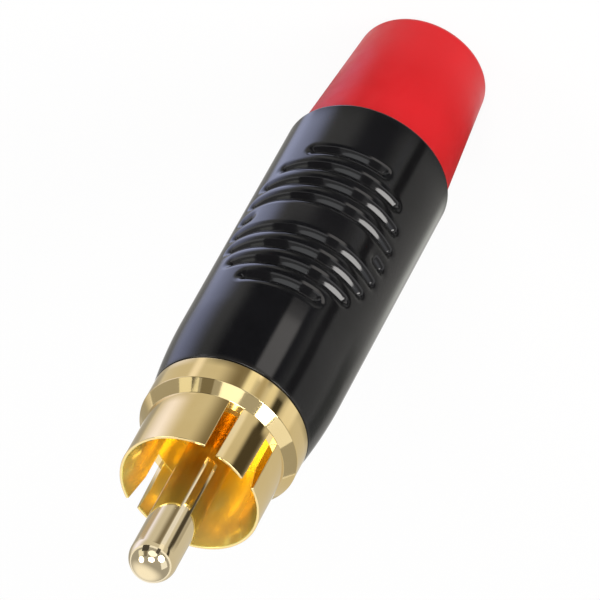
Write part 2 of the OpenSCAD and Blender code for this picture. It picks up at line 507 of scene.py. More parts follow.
@dataclass(frozen=True)
class BlackLacquer(Finish):
    """Deep black lacquer over a die casting, with a slight orange peel."""

    name: str = "shell_black"
    dark: Colour = (0.0035, 0.0035, 0.0042)
    light: Colour = (0.0055, 0.0055, 0.0065)
    tone: Grain = Grain(300, 4)
    sheen: Grain = Grain(700, 4)
    gloss: Pair = (0.08, 0.115)
    relief: Grain = Grain(1300, 2)
    bump: Pair = (0.08, 0.01)
    inputs: Inputs = (("ior", 1.5),)


@dataclass(frozen=True)
class SoftRubber(Finish):
    """Satin coloured soft plastic with a fine moulded grain."""

    name: str = "boot_red"
    dark: Colour = (0.505, 0.005, 0.008)
    light: Colour = (0.555, 0.0065, 0.011)
    tone: Grain = Grain(220, 4)
    sheen: Grain = Grain(900, 3)
    gloss: Pair = (0.36, 0.44)
    relief: Grain = Grain(5200, 3)
    bump: Pair = (0.25, 0.012)
    inputs: Inputs = (("specular_ior_level", 0.19),)


@dataclass(frozen=True)
class MouldedPlastic(Finish):
    """Plain moulded engineering plastic with a light speckle."""

    tone: Grain = Grain(600, 5)
    sheen: Grain = Grain(800, 3)
    gloss: Pair = (0.34, 0.46)
    relief: Grain = Grain(3000, 3)
    bump: Pair = (0.2, 0.01)


# Pin gold with painted shade and reflection: deeper orange low on the pin, paler towards the tip
PIN_GOLD_PAINTED_SHADE = GoldWithPaintedShade(
    name="gold_plate_pin",
    dark=(0.92, 0.60, 0.18),
    light=(0.905, 0.77, 0.51),
    floor=38.5,
    rim=46.5,
    streaks=0.1,
    gloss=(0.05, 0.08),
    inputs=(("metallic", 1.0),),
)
IVORY = MouldedPlastic("insulator_ivory", (0.72, 0.66, 0.50), (0.78, 0.73, 0.58))
CHUCK_WHITE = MouldedPlastic("chuck_white", (0.74, 0.72, 0.67), (0.8, 0.78, 0.74))


# Pieces


@dataclass(frozen=True)
class Thread:
    """Right-hand fine thread that both the shell and the contact carry."""

    pitch: float = 0.75
    depth: float = 0.18
    foot: float = 32.7
    end: float = 36.7
    run_out: float = 0.3

    def cut(self, z: Array, turn: Array) -> Array:
        """Depth below the thread's crest.

        Args:
            z: Heights.
            turn: Angles in radians.

        Returns:
            Depth at each place, fading at both ends.
        """
        wave = 0.5 - 0.5 * np.cos(TURN * (z / self.pitch - turn / TURN))
        fade = ease((z - self.foot) / self.run_out) * ease((self.end - z) / self.run_out)
        return self.depth * wave * fade


def dress(obj: Object, material: Material, slot: Slot, body: Body, node: str) -> Object:
    """Gives a piece its finish and its place in the moving model.

    Args:
        obj: The piece.
        material: Its finish.
        slot: Material slot of the record; not used.
        body: Body it rides on.
        node: CAD node that it stands for.

    Returns:
        The same piece.
    """
    obj.data.materials.append(material)
    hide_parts(node)
    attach(obj, body.value)
    return obj


@dataclass
class Shell:
    """Black barrel with two moulded grip patches."""

    foot: float = 11.2
    front: float = SEAM
    radius: float = 5.85
    nose_len: float = 5.5
    nose_r: float = 5.45
    nose_steps: int = 24
    edge: float = 0.3
    edge_steps: int = 8
    front_edge: float = 0.06
    front_edge_steps: int = 5
    front_face: float = 0.2
    rear_face: float = 0.1
    rear_soft: float = 0.08
    thread_r: float = 4.7
    thread_foot: float = 32.1
    thread_lead: float = 0.1
    thread_from: float = 0.2
    thread_to: float = 0.5
    thread_rows: int = 48
    bore_r: float = 4.6
    seat_top: float = 21.8
    seat_foot: float = 16.3
    seat_r: float = 3.85
    seat_soft: float = 0.3
    web_foot: float = 15.1
    web_r: float = 3.3
    socket_r: float = 4.4
    snap_r: float = 4.7
    snap_foot: float = 12.75
    snap_top: float = 13.85
    snap_slope: float = 0.3
    grip_mid: float = 22.6
    grip_sides: Pair = (-90.0, 90.0)
    grip_rows: int = 4
    grip_half_len: float = 7.3
    grip_half_deg: float = 57.0
    groove_pitch: float = 1.63
    groove_bed: float = 0.06
    ridge_r: float = 1.05
    stub_deg: float = 7.0
    patch_half_deg: float = 60.0
    patch_margin: float = 0.3
    patch_columns: int = 101
    patch_steps: int = 256
    plain_columns: int = 20
    plain_steps: int = 6
    rows_ahead: Pair = (0.4, 0.9)
    corner_steps: int = 2
    thread: Thread = Thread()

    def grooves(self) -> list[Triple]:
        """Lists the grooves of one patch.

        Returns:
            Height, middle angle and half angle of each.
        """
        rows = []
        for side in (-1, 1):
            for i in range(1, self.grip_rows + 1):
                dz = side * i * self.groove_pitch
                half = self.grip_half_deg * math.sqrt(1 - (dz / self.grip_half_len) ** 2)
                rows.append((self.grip_mid + dz, 0.0, half))
            middle = side * (self.grip_half_deg - self.stub_deg / 2)
            rows.append((self.grip_mid, middle, self.stub_deg / 2))
        return rows

    def grip(self, z: Array, turn: Array) -> Array:
        """Depth of the grip grooves on both sides of the shell.

        Args:
            z: Heights.
            turn: Angles in radians.

        Returns:
            Depth below the round surface.
        """
        depth = np.zeros_like(z)
        for facing in np.radians(self.grip_sides):
            away = np.degrees(np.arctan2(np.sin(turn - facing), np.cos(turn - facing)))
            for height, middle, half in self.grooves():
                along = np.radians(np.maximum(np.abs(away - middle) - half, 0.0)) * self.radius
                far = np.sqrt(along**2 + (z - height) ** 2 + self.groove_bed**2)
                fall = np.maximum(self.groove_pitch / 2 - far, 0.0)
                depth = np.maximum(depth, self.ridge_r - np.sqrt(self.ridge_r**2 - fall**2))
        return depth

    def outer(self) -> Outline:
        """Draws the outside from the rear rim to the front rim.

        Returns:
            The outline.
        """
        turns = np.linspace(-QUARTER, 0, self.edge_steps)
        rear = Outline.arc(self.radius - self.edge, self.foot + self.edge, self.edge, turns)
        low = self.grip_mid - self.grip_half_len - self.patch_margin
        high = self.grip_mid + self.grip_half_len + self.patch_margin
        behind = np.linspace(self.foot + self.edge, low, self.plain_steps)[1:-1]
        patch = np.linspace(low, high, self.patch_steps)
        rows = np.concatenate([behind, patch, high + np.array(self.rows_ahead)])
        drop = self.radius - self.nose_r
        sweep = (self.nose_len**2 + drop**2) / (2 * drop)
        end = math.asin((self.nose_len - self.front_edge) / sweep)
        turns = np.linspace(0, end, self.nose_steps)
        nose = Outline.arc(self.radius - sweep, self.front - self.nose_len, sweep, turns)
        turns = np.linspace(end, QUARTER, self.front_edge_steps)[1:]
        centre = nose.points[-1] - self.front_edge * nose.normals[-1]
        rim = Outline.arc(*centre, self.front_edge, turns)
        rim.points[:, 1] = np.minimum(rim.points[:, 1], self.front)
        return Outline.chain(rear, Outline.wall(self.radius, rows), nose, rim)

    def inner(self) -> Outline:
        """Draws the inside from the front rim back to the rear rim.

        Returns:
            The outline.
        """
        rows = np.linspace(
            self.front - self.thread_from, self.thread_foot + self.thread_to, self.thread_rows
        )
        mouth = [
            Corner(self.nose_r - self.front_face, self.front),
            Corner(self.thread_r + self.thread_lead, self.front),
            Corner(self.thread_r, self.front - self.thread_lead),
            Corner(self.thread_r, rows[0]),
        ]
        bore = [
            Corner(self.thread_r, rows[-1]),
            Corner(self.thread_r, self.thread_foot),
            Corner(self.bore_r, self.thread_foot),
            Corner(self.bore_r, self.seat_top, self.seat_soft),
            Corner(self.seat_r, self.seat_foot),
            Corner(self.web_r, self.seat_foot),
            Corner(self.web_r, self.web_foot),
            Corner(self.socket_r, self.web_foot),
            Corner(self.socket_r, self.snap_top + self.snap_slope),
            Corner(self.snap_r, self.snap_top),
            Corner(self.snap_r, self.snap_foot),
            Corner(self.socket_r, self.snap_foot),
            Corner(self.socket_r, self.foot, self.rear_soft),
            Corner(self.radius - self.edge - self.rear_face, self.foot),
        ]
        return Outline.chain(
            Outline.turned(mouth, False, self.corner_steps),
            Outline.wall(self.thread_r, rows[1:-1], -1.0),
            Outline.turned(bore, False, self.corner_steps),
        )

    def build(self, finish: Material) -> Object:
        """Builds the barrel with its grip patches and inner thread.

        Args:
            finish: The shell's material.

        Returns:
            The dressed piece.
        """
        outer = self.outer()
        split = len(outer.points)
        half = self.patch_half_deg
        fine = np.linspace(-half, half, self.patch_columns)
        plain = np.linspace(half, 180 - half, self.plain_columns)[1:-1]
        parts = [side + part for side in self.grip_sides for part in (fine, plain)]

        def relief(z: Array, turn: Array) -> Array:
            """Grip on the outside rows, thread on the inside rows."""
            depth = self.grip(z, turn)
            depth[split:] = self.thread.cut(z[split:], turn[split:])
            return depth

        outline = Outline.chain(outer, self.inner())
        data = revolve(outline, np.radians(np.concatenate(parts)), True, relief)
        return dress(smooth_mesh("shell_barrel", data), finish, Slot.SHELL, Body.HOUSING, "shell")


@dataclass
class Boot:
    """Red sleeve round the cable hole, with the neck that snaps into the shell."""

    shoulder: float = 11.2
    shoulder_soft: float = 0.05
    root_r: float = 5.5
    end_r: float = 4.6
    end_round: float = 1.0
    hole_r: float = 3.1
    mouth: float = 0.2
    mouth_soft: float = 0.1
    neck_r: float = 4.35
    neck_top: float = 14.8
    neck_soft: float = 0.2
    rib_r: float = 4.6
    rib_foot: float = 12.8
    rib_top: float = 13.8
    rib_slope: float = 0.25
    columns: int = 192
    corner_steps: int = 10

    def build(self, finish: Material) -> Object:
        """Builds the sleeve.

        Args:
            finish: The boot's material.

        Returns:
            The dressed piece.
        """
        outline = Outline.turned(
            [
                Corner(self.hole_r + self.mouth, 0.0, self.mouth_soft),
                Corner(self.end_r, 0.0, self.end_round),
                Corner(self.root_r, self.shoulder, self.shoulder_soft),
                Corner(self.neck_r, self.shoulder),
                Corner(self.neck_r, self.rib_foot),
                Corner(self.rib_r, self.rib_foot),
                Corner(self.rib_r, self.rib_top),
                Corner(self.neck_r, self.rib_top + self.rib_slope),
                Corner(self.neck_r, self.neck_top, self.neck_soft),
                Corner(self.hole_r, self.neck_top),
                Corner(self.hole_r, self.mouth, self.mouth_soft),
            ],
            steps=self.corner_steps,
        )
        data = revolve(outline, even_columns(self.columns), True)
        return dress(smooth_mesh("boot_sleeve", data), finish, Slot.BOOT, Body.HOUSING, "boot")


@dataclass
class SignalPin:
    """Round-nosed pin with a shank and a half-open solder cup."""

    tip: float = 51.8
    radius: float = 1.6
    seat: float = SOCKET_FLOOR
    shank_r: float = 1.2
    cup_foot: float = 28.4
    cup_depth: float = 3.0
    cup_r: float = 0.8
    cup_overlap: float = 0.05
    cup_steps: int = 40
    turn_deg: float = TONGUE_TURN
    columns: int = 128
    dome_steps: int = 28
    corner_steps: int = 3

    def build(self, finish: Material) -> Object:
        """Builds the pin.

        Args:
            finish: The gold plate.

        Returns:
            The dressed piece.
        """
        floor, dome_foot = self.cup_foot + self.cup_depth, self.tip - self.radius
        stem = Outline.turned(
            [
                Corner(0.0, floor),
                Corner(self.shank_r, floor),
                Corner(self.shank_r, self.seat),
                Corner(self.radius, self.seat),
                Corner(self.radius, dome_foot),
            ],
            closed=False,
            steps=self.corner_steps,
        )
        turns = np.linspace(0, QUARTER, self.dome_steps)[1:]
        dome = Outline.arc(0.0, dome_foot, self.radius, turns)
        dome.points[-1, 0] = 0.0
        data = revolve(Outline.chain(stem, dome), even_columns(self.columns), False)
        top = floor + self.cup_overlap
        for foot, half_deg in ((self.cup_foot, 90.0), (floor - self.cup_r, 180.0)):
            inner, outer = self.cup_r, self.shank_r
            wall = [(inner, foot), (outer, foot), (outer, top), (inner, top)]
            data = joined(data, sector(wall, self.turn_deg, half_deg, self.cup_steps))
        obj = smooth_mesh("signal_pin", data)
        return dress(obj, finish, Slot.GOLD, Body.CONTACTS, "center_pin")


@dataclass
class GroundContact:
    """Gold contact with a slotted spring crown, flange, thread and solder tail."""

    spigot_foot: float = 32.4
    spigot_r: float = 4.65
    spigot_bevel: float = 0.3
    seam: float = SEAM
    seam_bevel: float = 0.12
    flange_r: float = 5.45
    flange_top: float = 38.9
    crown_foot: float = 39.7
    crown_r: float = 4.8
    rim: float = 44.0
    rim_wall: float = 0.2
    lead: float = 2.0
    jack_r: float = 4.15
    socket_floor: float = SOCKET_FLOOR
    floor_len: float = 0.8
    collar_r: float = 2.3
    body_r: float = 3.0
    turn_deg: float = TONGUE_TURN
    gap_half_deg: float = 25.98
    gap_columns: int = 28
    petal_columns: int = 72
    tongue_half_deg: float = 14.02
    tongue_columns: int = 15
    tongue_wall: float = 0.5
    tongue_lean: float = 0.3
    tongue_sink: float = 0.3
    tail_foot: float = 25.9
    tail_r: float = 3.65
    tail_wall: float = 0.5
    tail_half_deg: float = 55.0
    tail_overlap: float = 0.5
    tail_columns: int = 48
    wire_r: float = 0.6
    wire_z: float = 27.7
    wire_columns: int = 40
    drill_len: float = 3.0
    edge: float = 0.045
    edge_steps: int = 2
    edge_deg: float = 15.0
    crease_deg: float = 50.0
    shading_weight: int = 90
    shading_limit: float = 0.001
    weld: float = 1e-4
    skin: float = 0.1
    inward: float = -0.2
    thread_clear: float = 0.5
    thread_rows: int = 44
    thread: Thread = Thread()

    def columns(self) -> tuple[Array, Array]:
        """Angles round the crown, with a flag for columns that stand in a gap.

        Returns:
            Angles in radians over one turn, and for the stretch after each whether it is a gap.
        """
        turns, gaps = [], []
        for middle in (self.turn_deg, self.turn_deg + 180.0):
            start, end = middle - self.gap_half_deg, middle + self.gap_half_deg
            turns.append(np.linspace(start, end, self.gap_columns, endpoint=False))
            turns.append(np.linspace(end, start + 180.0, self.petal_columns, endpoint=False))
            gaps += [True] * self.gap_columns + [False] * self.petal_columns
        return np.radians(np.concatenate(turns)), np.array(gaps)

    def outside(self) -> Profile:
        """Lists the outline's corners from the spigot's foot to the crown's foot."""
        rows = np.linspace(self.thread.foot, self.thread.end, self.thread_rows)
        return [
            (self.body_r, self.spigot_foot),
            (self.spigot_r - self.spigot_bevel, self.spigot_foot),
            (self.spigot_r, self.spigot_foot + self.spigot_bevel),
            *((self.spigot_r, z) for z in rows),
            (self.spigot_r, self.seam),
            (self.flange_r - self.seam_bevel, self.seam),
            (self.flange_r, self.seam + self.seam_bevel),
            (self.flange_r, self.flange_top),
            (self.crown_r, self.crown_foot),
        ]

    def bore(self) -> Profile:
        """Lists the outline's corners from the crown's foot through the bore."""
        below = self.socket_floor - self.floor_len
        return [
            (self.jack_r, self.crown_foot),
            (self.jack_r, self.socket_floor),
            (self.collar_r, self.socket_floor),
            (self.collar_r, below),
            (self.body_r, below),
        ]

    def tip(self, inner_r: float) -> Profile:
        """Lists the corners of the crown's rim down to the end of its lead-in."""
        rim = [(self.crown_r, self.rim), (self.crown_r - self.rim_wall, self.rim)]
        return rim + [(inner_r, self.rim - self.lead)]

    def ring(self) -> BMesh:
        """Builds spigot, flange and the two wide petals of the crown.

        Returns:
            One closed mesh.
        """
        turns, gaps = self.columns()
        count = len(turns)
        low, back = self.outside(), self.bore()
        last = len(low) - 1
        bm = bmesh.new()

        def ring_of(r: float, z: float) -> list[BMVert]:
            """One ring of vertices at a corner of the outline."""
            cut = self.thread.cut(np.full(count, z), turns) * float(r == self.spigot_r)
            return [bm.verts.new(polar(r - c, a, z)) for a, c in zip(turns, cut)]

        base = [ring_of(r, z) for r, z in low + back]
        stands = [j for j in range(count) if not gaps[j] or not gaps[j - 1]]
        tip = self.tip(self.jack_r)
        top = [{j: bm.verts.new(polar(r, turns[j], z)) for j in stands} for r, z in tip]
        petal = [base[last], *top, base[last + 1]]
        for j in range(count):
            k = (j + 1) % count
            pairs = list(zip(base, base[1:] + base[:1]))
            if not gaps[j]:
                pairs[last : last + 1] = zip(petal, petal[1:])
            for one, two in pairs:
                bm.faces.new((one[j], one[k], two[k], two[j]))
        for j in stands:
            if gaps[j] != gaps[j - 1]:
                wall = [row[j] for row in petal]
                bm.faces.new(wall if gaps[j - 1] else wall[::-1])
        return bm

    def tongue(self, bm: BMesh, middle_deg: float) -> None:
        """Adds one spring tongue that leans inward from its foot.

        Args:
            bm: Mesh to add it to.
            middle_deg: Angle of the tongue's middle.
        """
        foot, inner_r = self.crown_foot - self.tongue_sink, self.crown_r - self.tongue_wall
        section = [(inner_r, foot), (self.crown_r, foot), *self.tip(inner_r)]
        lean = math.atan(self.tongue_lean / (self.rim - self.crown_foot))
        pivot = Vector((self.crown_r, 0, foot))
        move = (
            Matrix.Rotation(math.radians(middle_deg), 4, "Z")
            @ Matrix.Translation(pivot)
            @ Matrix.Rotation(-lean, 4, "Y")
            @ Matrix.Translation(-pivot)
        )
        half = math.radians(self.tongue_half_deg)
        turns = np.linspace(-half, half, self.tongue_columns)
        grid = [[bm.verts.new(move @ Vector(polar(r, a, z))) for a in turns] for r, z in section]
        for one, two in zip(grid, grid[1:] + grid[:1]):
            for j in range(len(turns) - 1):
                bm.faces.new((one[j], one[j + 1], two[j + 1], two[j]))
        bm.faces.new([row[0] for row in grid])
        bm.faces.new([row[-1] for row in grid][::-1])

    def on_thread(self, point: Vector) -> bool:
        """Tells whether a point lies on the screw thread."""
        return (
            self.thread.foot < point.z < self.thread.end
            and point.xy.length > self.body_r + self.thread_clear
        )

    def mark_edges(self, bm: BMesh) -> None:
        """Marks each sharp edge off the thread, to be broken later.

        Args:
            bm: Mesh with its normals up to date.
        """
        weight = bm.edges.layers.float.new("bevel_weight_edge")
        for e in bm.edges:
            is_sharp = e.calc_face_angle(0.0) > math.radians(self.edge_deg)
            if is_sharp and not all(self.on_thread(v.co) for v in e.verts):
                e[weight] = 1.0

    def tail(self) -> Object:
        """Builds the half-round solder tail with its wire hole.

        Returns:
            A loose object.
        """
        inner_r, top = self.tail_r - self.tail_wall, self.spigot_foot + self.tail_overlap
        foot = self.tail_foot
        corners = [(inner_r, foot), (self.tail_r, foot), (self.tail_r, top), (inner_r, top)]
        points, _, faces = sector(corners, self.turn_deg, self.tail_half_deg, self.tail_columns)
        bm = bmesh.new()
        verts = [bm.verts.new(p) for p in points.tolist()]
        for face in faces:
            bm.faces.new([verts[i] for i in face])
        bmesh.ops.remove_doubles(bm, verts=bm.verts, dist=self.weld)
        tail = made("tail", bm)
        a = math.radians(self.turn_deg)
        bm = bmesh.new()
        bmesh.ops.create_cone(
            bm,
            cap_ends=True,
            segments=self.wire_columns,
            radius1=self.wire_r,
            radius2=self.wire_r,
            depth=self.drill_len,
            matrix=Matrix.Translation(polar(self.tail_r, a, self.wire_z))
            @ Matrix.Rotation(a, 4, "Z")
            @ Matrix.Rotation(QUARTER, 4, "Y"),
        )
        drill = made("drill", bm)
        hole = tail.modifiers.new("wire_hole", "BOOLEAN")
        hole.operation, hole.solver, hole.object = "DIFFERENCE", "EXACT", drill
        settle(tail)
        bpy.data.objects.remove(drill)
        return tail

    def is_bored(self, face: BMFace) -> bool:
        """Tells whether a face belongs to the bored inside of the crown.

        Args:
            face: The face.

        Returns:
            Whether it does.
        """
        middle = face.calc_center_median()
        if middle.z < self.socket_floor - self.skin or middle.xy.length > self.crown_r - self.skin:
            return False
        facing = face.normal.xy.dot(middle.xy.normalized())
        return facing < self.inward or middle.z < self.socket_floor + self.skin

    def build(self, finish: Material, bored: Material) -> Object:
        """Builds the contact and breaks its sharp edges.

        Args:
            finish: The gold plate.
            bored: The duller plate inside the crown, with painted shade deeper towards the
                socket's floor.

        Returns:
            The dressed piece.
        """
        bm = self.ring()
        for side in (0.0, 180.0):
            self.tongue(bm, self.turn_deg + side)
        bmesh.ops.recalc_face_normals(bm, faces=bm.faces)
        bm.normal_update()
        self.mark_edges(bm)
        obj = made("contact_crown", bm)
        bevel = obj.modifiers.new("broken_edges", "BEVEL")
        bevel.limit_method, bevel.width, bevel.segments = "WEIGHT", self.edge, self.edge_steps
        settle(obj)
        tail = self.tail()
        bm = bmesh.new()
        bm.from_mesh(obj.data)
        bm.from_mesh(tail.data)
        bm.normal_update()
        for f in bm.faces:
            f.smooth = True
            # faces inside the crown take the gold with painted shade
            f.material_index = int(self.is_bored(f))
        for e in bm.edges:
            e.smooth = e.calc_face_angle(0.0) < math.radians(self.crease_deg)
        bm.to_mesh(obj.data)
        bm.free()
        bpy.data.objects.remove(tail)
        shading = obj.modifiers.new("even_shading", "WEIGHTED_NORMAL")
        shading.keep_sharp = True
        shading.weight, shading.thresh = self.shading_weight, self.shading_limit
        settle(obj)
        obj.data.transform(Matrix.Scale(MM, 4))
        dress(obj, finish, Slot.GOLD, Body.CONTACTS, "ground_contact")
        obj.data.materials.append(bored)
        return obj


@dataclass
class CarriedNode:
    """CAD solid that is shown as it is, with a finish of its own."""

    node: str

    def build(self, finish: Material) -> Object:
        """Gives the solid its finish.

        Args:
            finish: The material.

        Returns:
            The CAD object.
        """
        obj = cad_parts[self.node]
        if not obj.material_slots:
            obj.data.materials.append(finish)
        for place in obj.material_slots:
            place.material = finish
        return obj


# Studio


@dataclass(frozen=True)
class Card:
    """Card that only mirrors see, and only from above; its glow is a painted reflection that
    lights nothing.

    Its place is where the plug's round wall mirrors the camera's look: azimuth is the
    way the mirrored look goes, near and far are how far it goes along the table.
    """

    name: str
    azimuth: float
    half_deg: float
    near: float
    far: float
    glow: Colour
    soft_deg: float
    soft_mm: float
    height: float


@dataclass(frozen=True)
class Placed:
    """Stage piece that looks at the plug, with distance, width and height in metres."""

    name: str
    azimuth: float
    elevation: float
    distance: float
    width: float
    height: float


@dataclass(frozen=True)
class Softbox(Placed):
    """Oval lamp."""

    power: float
    colour: Colour


@dataclass(frozen=True)
class Panel(Placed):
    """Upright panel that only mirrors see; its glow is a painted reflection that lights nothing.
    """

    glow: Colour


@dataclass
class Studio:
    """Pale table, cards, lamps and surroundings; azimuths count from the camera's side."""

    aim: float = 30.0
    wall_r: float = 5.45
    card_columns: int = 97
    card_rows: int = 65
    table_radius: float = 1.6
    table_columns: int = 96
    table_colour: Colour = (0.92, 0.92, 0.92)
    table_glow: Colour = (1.0, 1.0, 1.0)
    table_white: float = 0.92
    backdrop: Colour = (0.8, 0.8, 0.8)
    room_colour: Colour = (1.0, 0.99, 0.98)
    room_light: float = 0.48
    # the mirror values set the world's painted reflection, which only mirrors see
    mirror_colour: Colour = (1.0, 0.98, 0.95)
    mirror_out: float = 0.7
    mirror_up: float = 0.714
    mirror_ends: Pair = (0.50, 0.95)
    mirror_light: Pair = (0.40, 1.05)
    shelf: float = 36.2
    # Painted reflections on the table: bright cards paint highlights, darker ones paint dark
    # surroundings, and base and base_left paint the shade round the plug's foot
    table_cards: tuple[Card, ...] = (
        Card("base", -46, 130, 2.0, 11, (0.10, 0.10, 0.09), 8, 1.8, 0.80),
        Card("base_left", 101, 17, 8.5, 11, (0.12, 0.12, 0.12), 6, 1.5, 0.80),
        Card("mat", 0, 168, 5, 104, (0.46, 0.45, 0.42), 8, 2, 0.25),
        Card("front_rear", 8, 26, 6, 25, (0.08, 0.08, 0.08), 14, 3, 0.34),
        Card("front", 14, 48, 25, 104, (0.04, 0.04, 0.04), 12, 3, 0.35),
        Card("right_mid", -118, 14, 31, 104, (0.20, 0.20, 0.18), 8, 3, 0.45),
        Card("right_edge", -146, 12, 9, 26, (0.95, 0.95, 0.88), 10, 6, 0.50),
        Card("left", 112, 20, 2, 104, (1.00, 1.06, 1.50), 16, 1, 0.48),
        Card("left_near", 108, 24, 9, 31, (1.40, 1.50, 2.10), 16, 6, 0.52),
        Card("left_edge", 152, 13, 7, 104, (0.40, 0.39, 0.37), 6, 4, 0.60),
        Card("strip", -8, 12, 33.5, 104, (1.60, 1.52, 1.44), 3, 4, 0.70),
        Card("strip_rear", -32, 4, 9, 24, (0.45, 0.45, 0.45), 3, 6, 0.70),
        Card("flag", -48, 7, 7, 104, (0.05, 0.045, 0.035), 4, 4, 0.90),
    )
    # Painted reflections at the seam's height, seen only by the gold parts
    shelf_cards: tuple[Card, ...] = (
        Card("shelf", 0, 168, 0.3, 70, (0.64, 0.61, 0.54), 8, 0.1, 0.30),
        Card("shelf_front", 16, 16, 0.3, 20, (0.21, 0.18, 0.13), 16, 0.1, 0.32),
        Card("shelf_left", 104, 18, 3.1, 70, (1.05, 1.08, 1.50), 20, 0.3, 0.34),
        Card("shelf_left_pin", 122, 22, 8.3, 13.4, (0.50, 0.42, 0.33), 8, 0.4, 0.36),
        Card("shelf_left_edge", 152, 13, 0.3, 70, (0.40, 0.39, 0.37), 6, 0.1, 0.38),
        Card("shelf_left_low", 79, 6, 0.3, 2.9, (0.95, 0.92, 0.95), 5, 0.1, 0.40),
        Card("shelf_right_low", -72, 11, 0.3, 2.9, (0.86, 0.83, 0.76), 5, 0.1, 0.40),
        Card("shelf_right_pin", -76, 8, 4.4, 12, (0.42, 0.39, 0.33), 5, 0.6, 0.40),
        Card("shelf_strip", -8, 11, 2.9, 70, (1.02, 0.99, 0.92), 4, 0.3, 0.40),
        Card("shelf_strip_low", 0, 6, 0.3, 2.9, (0.95, 0.92, 0.80), 4, 0.1, 0.40),
        Card("shelf_side_low", -33, 5, 0.3, 2.9, (0.82, 0.78, 0.66), 4, 0.1, 0.40),
        Card("shelf_gap_low", -17, 5, 0.3, 2.9, (0.45, 0.40, 0.30), 4, 0.1, 0.42),
        Card("shelf_strip_pin", -8, 11, 4.4, 12, (0.84, 0.84, 0.90), 4, 0.6, 0.42),
        Card("shelf_flag", -48, 7, 0.3, 70, (0.05, 0.045, 0.035), 4, 0.1, 0.44),
        Card("shelf_flag_pin", -51, 13, 4.4, 12, (0.07, 0.06, 0.045), 6, 0.6, 0.46),
    )
    lamps: tuple[Softbox, ...] = (
        Softbox("right_key", -36, 23, 0.50, 0.27, 0.23, 1.35, (1.0, 0.98, 0.95)),
        Softbox("left_box", 14, 26, 0.50, 0.38, 0.23, 0.22, (0.95, 0.98, 1.0)),
        Softbox("left_top", 84, 48, 0.50, 0.22, 0.22, 0.42, (1.0, 0.98, 0.95)),
        Softbox("top_key", 8, 53, 0.50, 0.24, 0.18, 0.98, (1.0, 0.98, 0.95)),
    )
    # Painted reflections: the flags paint dark ones, the walls bright ones
    panels: tuple[Panel, ...] = (
        Panel("left_flag", 50, 30, 0.30, 0.07, 0.14, (0.20, 0.18, 0.14)),
        Panel("low_flag", 53, 8, 0.07, 0.036, 0.06, (0.07, 0.065, 0.06)),
        Panel("mid_flag", -4, 8, 0.07, 0.018, 0.06, (0.09, 0.085, 0.08)),
        Panel("left_wall", 74, 24, 0.30, 0.12, 0.14, (0.92, 0.92, 0.85)),
        Panel("right_wall", -70, 26, 0.30, 0.17, 0.14, (0.96, 0.98, 1.02)),
    )

    def table(self) -> None:
        """Builds the table, which glows white to the camera and to mirrors."""
        bm = bmesh.new()
        bmesh.ops.create_circle(
            bm, cap_ends=True, segments=self.table_columns, radius=self.table_radius
        )
        obj = made("table", bm)
        tree = Tree(bpy.data.materials.new("table_white"))
        path = tree.add("LightPath").outputs
        seen = tree.add("Math", path["Is Camera Ray"], path["Is Glossy Ray"], operation="MAXIMUM")
        seen = tree.add("Math", seen, path["Is Transmission Ray"], operation="MAXIMUM")
        share = tree.add("Math", seen, self.table_white, operation="MULTIPLY")
        paint = tree.add("BsdfDiffuse", (*self.table_colour, 1))
        tree.show(tree.add("MixShader", share, paint, tree.add("Emission", (*self.table_glow, 1))))
        obj.data.materials.append(tree.owner)

    def lay(self, card: Card, level: float) -> None:
        """Lays one card on the table, or at the seam's height for the gold parts alone.

        Args:
            card: The card.
            level: Height of what it lies on.
        """
        half, soft = card.half_deg + card.soft_deg, card.soft_mm
        turns = np.linspace(-half, half, self.card_columns)
        reach = np.linspace(card.near - soft, card.far + soft, self.card_rows)
        r, a = np.meshgrid(reach, turns, indexing="ij")
        away = np.radians(CAMERA_SIDE + card.azimuth + a)
        wall = np.radians(CAMERA_SIDE + (card.azimuth + a) / 2)
        x = self.wall_r * np.cos(wall) + r * np.cos(away)
        y = self.wall_r * np.sin(wall) + r * np.sin(away)
        points = np.stack([x, y, np.full_like(x, level + card.height)], axis=-1)
        cover = ease((half - np.abs(a)) / (2 * card.soft_deg))
        cover *= ease((r - card.near + soft) / (2 * soft))
        cover *= ease((card.far + soft - r) / (2 * soft))
        rows, cols = r.shape
        starts = [i * cols + j for i in range(rows - 1) for j in range(cols - 1)]
        faces = [(k, k + cols, k + cols + 1, k + 1) for k in starts]
        mesh = bpy.data.meshes.new(card.name)
        mesh.from_pydata((points.reshape(-1, 3) * MM).tolist(), [], faces)
        mesh.attributes.new("cover", "FLOAT", "POINT").data.foreach_set("value", cover.ravel())
        obj = linked("card_" + card.name, mesh)
        tree = Tree(bpy.data.materials.new(obj.name))
        share = tree.add(
            "Math",
            tree.add("Attribute", attribute_name="cover").outputs["Fac"],
            tree.add("NewGeometry").outputs["Backfacing"],
            operation="SUBTRACT",
            use_clamp=True,
        )
        # the card's emission paints a reflection and lights nothing
        clear, light = tree.add("BsdfTransparent"), tree.add("Emission", (*card.glow, 1))
        tree.show(tree.add("MixShader", share, clear, light))
        self.for_mirrors(obj, tree)

    def stand(self, panel: Panel) -> None:
        """Stands one panel beside the table.

        Args:
            panel: The panel.
        """
        w, h = panel.width / 2, panel.height / 2
        mesh = bpy.data.meshes.new(panel.name)
        mesh.from_pydata([(-w, -h, 0), (w, -h, 0), (w, h, 0), (-w, h, 0)], [], [(0, 1, 2, 3)])
        obj = linked("panel_" + panel.name, mesh)
        tree = Tree(bpy.data.materials.new(obj.name))
        tree.show(tree.add("Emission", (*panel.glow, 1)))
        self.aim_at_plug(obj, panel)
        self.for_mirrors(obj, tree)

